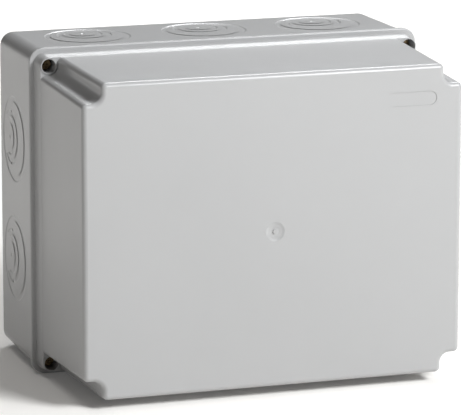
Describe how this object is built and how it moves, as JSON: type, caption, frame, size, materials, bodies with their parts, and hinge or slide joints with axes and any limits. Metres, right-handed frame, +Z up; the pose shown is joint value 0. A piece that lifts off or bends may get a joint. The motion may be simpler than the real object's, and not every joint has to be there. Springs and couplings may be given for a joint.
{
  "type": "electrical junction box",
  "caption": "Surface-mounted electrical junction box with deep screw-on cover, cable knock-outs and a row of rail-mounted terminals inside.",
  "frame": {"origin": "centre of the flat back face that lies on the wall", "axes": "+Z up, the front of the cover faces -Y, +X runs along the long side"},
  "size_m": [0.24, 0.1643, 0.195],
  "materials": {
    "shell": "light grey, satin, moulded",
    "gasket_foam": "dark closed-cell foam cord",
    "screw_head": "passivated yellow",
    "seal": "black",
    "insert_brass": "bright",
    "zinc_steel": "bright zinc plated",
    "pole_grey": "mid grey polyamide",
    "pole_blue": "blue polyamide",
    "pole_earth": "green and yellow polyamide",
    "tinned_copper": "tinned copper"
  },
  "bodies": {
    "base": {"base_box": "shell", "threaded_inserts": "insert_brass", "mounting_rail": "zinc_steel", "rail_screws": "zinc_steel", "end_plate": "pole_grey", "end_bracket_right": "pole_grey", "end_bracket_left": "pole_grey", "terminal_housing_l1": "pole_grey", "terminal_housing_l2": "pole_grey", "terminal_housing_l3": "pole_grey", "terminal_housing_n": "pole_blue", "terminal_housing_pe": "pole_earth", "current_bar_l1": "tinned_copper", "current_bar_l2": "tinned_copper", "current_bar_l3": "tinned_copper", "current_bar_n": "tinned_copper", "current_bar_pe": "tinned_copper"},
    "cover_group": {"cover": "shell", "gasket": "gasket_foam"},
    "seal_tl": {"screw_seal_tl": "seal"},
    "screw_tl": {"cover_screw_tl": "screw_head"},
    "seal_tr": {"screw_seal_tr": "seal"},
    "screw_tr": {"cover_screw_tr": "screw_head"},
    "seal_bl": {"screw_seal_bl": "seal"},
    "screw_bl": {"cover_screw_bl": "screw_head"},
    "seal_br": {"screw_seal_br": "seal"},
    "screw_br": {"cover_screw_br": "screw_head"},
    "clamp_l1_upper": {"clamp_screw_l1_upper": "zinc_steel"},
    "cage_l1_upper": {"clamp_cage_l1_upper": "zinc_steel"},
    "clamp_l1_lower": {"clamp_screw_l1_lower": "zinc_steel"},
    "cage_l1_lower": {"clamp_cage_l1_lower": "zinc_steel"},
    "clamp_l2_upper": {"clamp_screw_l2_upper": "zinc_steel"},
    "cage_l2_upper": {"clamp_cage_l2_upper": "zinc_steel"},
    "clamp_l2_lower": {"clamp_screw_l2_lower": "zinc_steel"},
    "cage_l2_lower": {"clamp_cage_l2_lower": "zinc_steel"},
    "clamp_l3_upper": {"clamp_screw_l3_upper": "zinc_steel"},
    "cage_l3_upper": {"clamp_cage_l3_upper": "zinc_steel"},
    "clamp_l3_lower": {"clamp_screw_l3_lower": "zinc_steel"},
    "cage_l3_lower": {"clamp_cage_l3_lower": "zinc_steel"},
    "clamp_n_upper": {"clamp_screw_n_upper": "zinc_steel"},
    "cage_n_upper": {"clamp_cage_n_upper": "zinc_steel"},
    "clamp_n_lower": {"clamp_screw_n_lower": "zinc_steel"},
    "cage_n_lower": {"clamp_cage_n_lower": "zinc_steel"},
    "clamp_pe_upper": {"clamp_screw_pe_upper": "zinc_steel"},
    "cage_pe_upper": {"clamp_cage_pe_upper": "zinc_steel"},
    "clamp_pe_lower": {"clamp_screw_pe_lower": "zinc_steel"},
    "cage_pe_lower": {"clamp_cage_pe_lower": "zinc_steel"}
  },
  "joints": [
    {"name": "cover_lift", "type": "slide", "parent": "base", "child": "cover_group", "axis": [0, -1, 0], "range_m": [0, 0.12]},
    {"name": "seal_tl_slide", "type": "slide", "parent": "cover_group", "child": "seal_tl", "axis": [0, -1, 0], "range_m": [0, 0.0119]},
    {"name": "screw_tl_turn", "type": "hinge", "parent": "seal_tl", "child": "screw_tl", "pos_m": [-0.11115, -0.0751, 0.08855], "axis": [0, -1, 0], "range_deg": [0, 6120]},
    {"name": "seal_tr_slide", "type": "slide", "parent": "cover_group", "child": "seal_tr", "axis": [0, -1, 0], "range_m": [0, 0.0119]},
    {"name": "screw_tr_turn", "type": "hinge", "parent": "seal_tr", "child": "screw_tr", "pos_m": [0.11115, -0.0751, 0.08855], "axis": [0, -1, 0], "range_deg": [0, 6120]},
    {"name": "seal_bl_slide", "type": "slide", "parent": "cover_group", "child": "seal_bl", "axis": [0, -1, 0], "range_m": [0, 0.0119]},
    {"name": "screw_bl_turn", "type": "hinge", "parent": "seal_bl", "child": "screw_bl", "pos_m": [-0.11115, -0.0751, -0.08855], "axis": [0, -1, 0], "range_deg": [0, 6120]},
    {"name": "seal_br_slide", "type": "slide", "parent": "cover_group", "child": "seal_br", "axis": [0, -1, 0], "range_m": [0, 0.0119]},
    {"name": "screw_br_turn", "type": "hinge", "parent": "seal_br", "child": "screw_br", "pos_m": [0.11115, -0.0751, -0.08855], "axis": [0, -1, 0], "range_deg": [0, 6120]},
    {"name": "clamp_l1_upper_turn", "type": "hinge", "parent": "base", "child": "clamp_l1_upper", "pos_m": [-0.024, -0.0453, 0.013], "axis": [0, 1, 0], "range_deg": [0, 1620]},
    {"name": "cage_l1_upper_slide", "type": "slide", "parent": "base", "child": "cage_l1_upper", "axis": [0, -1, 0], "range_m": [0, 0.00315]},
    {"name": "clamp_l1_lower_turn", "type": "hinge", "parent": "base", "child": "clamp_l1_lower", "pos_m": [-0.024, -0.0453, -0.013], "axis": [0, 1, 0], "range_deg": [0, 1620]},
    {"name": "cage_l1_lower_slide", "type": "slide", "parent": "base", "child": "cage_l1_lower", "axis": [0, -1, 0], "range_m": [0, 0.00315]},
    {"name": "clamp_l2_upper_turn", "type": "hinge", "parent": "base", "child": "clamp_l2_upper", "pos_m": [-0.012, -0.0453, 0.013], "axis": [0, 1, 0], "range_deg": [0, 1620]},
    {"name": "cage_l2_upper_slide", "type": "slide", "parent": "base", "child": "cage_l2_upper", "axis": [0, -1, 0], "range_m": [0, 0.00315]},
    {"name": "clamp_l2_lower_turn", "type": "hinge", "parent": "base", "child": "clamp_l2_lower", "pos_m": [-0.012, -0.0453, -0.013], "axis": [0, 1, 0], "range_deg": [0, 1620]},
    {"name": "cage_l2_lower_slide", "type": "slide", "parent": "base", "child": "cage_l2_lower", "axis": [0, -1, 0], "range_m": [0, 0.00315]},
    {"name": "clamp_l3_upper_turn", "type": "hinge", "parent": "base", "child": "clamp_l3_upper", "pos_m": [0, -0.0453, 0.013], "axis": [0, 1, 0], "range_deg": [0, 1620]},
    {"name": "cage_l3_upper_slide", "type": "slide", "parent": "base", "child": "cage_l3_upper", "axis": [0, -1, 0], "range_m": [0, 0.00315]},
    {"name": "clamp_l3_lower_turn", "type": "hinge", "parent": "base", "child": "clamp_l3_lower", "pos_m": [0, -0.0453, -0.013], "axis": [0, 1, 0], "range_deg": [0, 1620]},
    {"name": "cage_l3_lower_slide", "type": "slide", "parent": "base", "child": "cage_l3_lower", "axis": [0, -1, 0], "range_m": [0, 0.00315]},
    {"name": "clamp_n_upper_turn", "type": "hinge", "parent": "base", "child": "clamp_n_upper", "pos_m": [0.012, -0.0453, 0.013], "axis": [0, 1, 0], "range_deg": [0, 1620]},
    {"name": "cage_n_upper_slide", "type": "slide", "parent": "base", "child": "cage_n_upper", "axis": [0, -1, 0], "range_m": [0, 0.00315]},
    {"name": "clamp_n_lower_turn", "type": "hinge", "parent": "base", "child": "clamp_n_lower", "pos_m": [0.012, -0.0453, -0.013], "axis": [0, 1, 0], "range_deg": [0, 1620]},
    {"name": "cage_n_lower_slide", "type": "slide", "parent": "base", "child": "cage_n_lower", "axis": [0, -1, 0], "range_m": [0, 0.00315]},
    {"name": "clamp_pe_upper_turn", "type": "hinge", "parent": "base", "child": "clamp_pe_upper", "pos_m": [0.024, -0.0453, 0.013], "axis": [0, 1, 0], "range_deg": [0, 1620]},
    {"name": "cage_pe_upper_slide", "type": "slide", "parent": "base", "child": "cage_pe_upper", "axis": [0, -1, 0], "range_m": [0, 0.00315]},
    {"name": "clamp_pe_lower_turn", "type": "hinge", "parent": "base", "child": "clamp_pe_lower", "pos_m": [0.024, -0.0453, -0.013], "axis": [0, 1, 0], "range_deg": [0, 1620]},
    {"name": "cage_pe_lower_slide", "type": "slide", "parent": "base", "child": "cage_pe_lower", "axis": [0, -1, 0], "range_m": [0, 0.00315]}
  ],
  "couplings": [
    {"joint": "screw_tl_turn", "follows": "seal_tl_slide", "rad_per_m": 8976},
    {"joint": "screw_tr_turn", "follows": "seal_tr_slide", "rad_per_m": 8976},
    {"joint": "screw_bl_turn", "follows": "seal_bl_slide", "rad_per_m": 8976},
    {"joint": "screw_br_turn", "follows": "seal_br_slide", "rad_per_m": 8976},
    {"joint": "clamp_l1_upper_turn", "follows": "cage_l1_upper_slide", "rad_per_m": 8976},
    {"joint": "clamp_l1_lower_turn", "follows": "cage_l1_lower_slide", "rad_per_m": 8976},
    {"joint": "clamp_l2_upper_turn", "follows": "cage_l2_upper_slide", "rad_per_m": 8976},
    {"joint": "clamp_l2_lower_turn", "follows": "cage_l2_lower_slide", "rad_per_m": 8976},
    {"joint": "clamp_l3_upper_turn", "follows": "cage_l3_upper_slide", "rad_per_m": 8976},
    {"joint": "clamp_l3_lower_turn", "follows": "cage_l3_lower_slide", "rad_per_m": 8976},
    {"joint": "clamp_n_upper_turn", "follows": "cage_n_upper_slide", "rad_per_m": 8976},
    {"joint": "clamp_n_lower_turn", "follows": "cage_n_lower_slide", "rad_per_m": 8976},
    {"joint": "clamp_pe_upper_turn", "follows": "cage_pe_upper_slide", "rad_per_m": 8976},
    {"joint": "clamp_pe_lower_turn", "follows": "cage_pe_lower_slide", "rad_per_m": 8976}
  ]
}
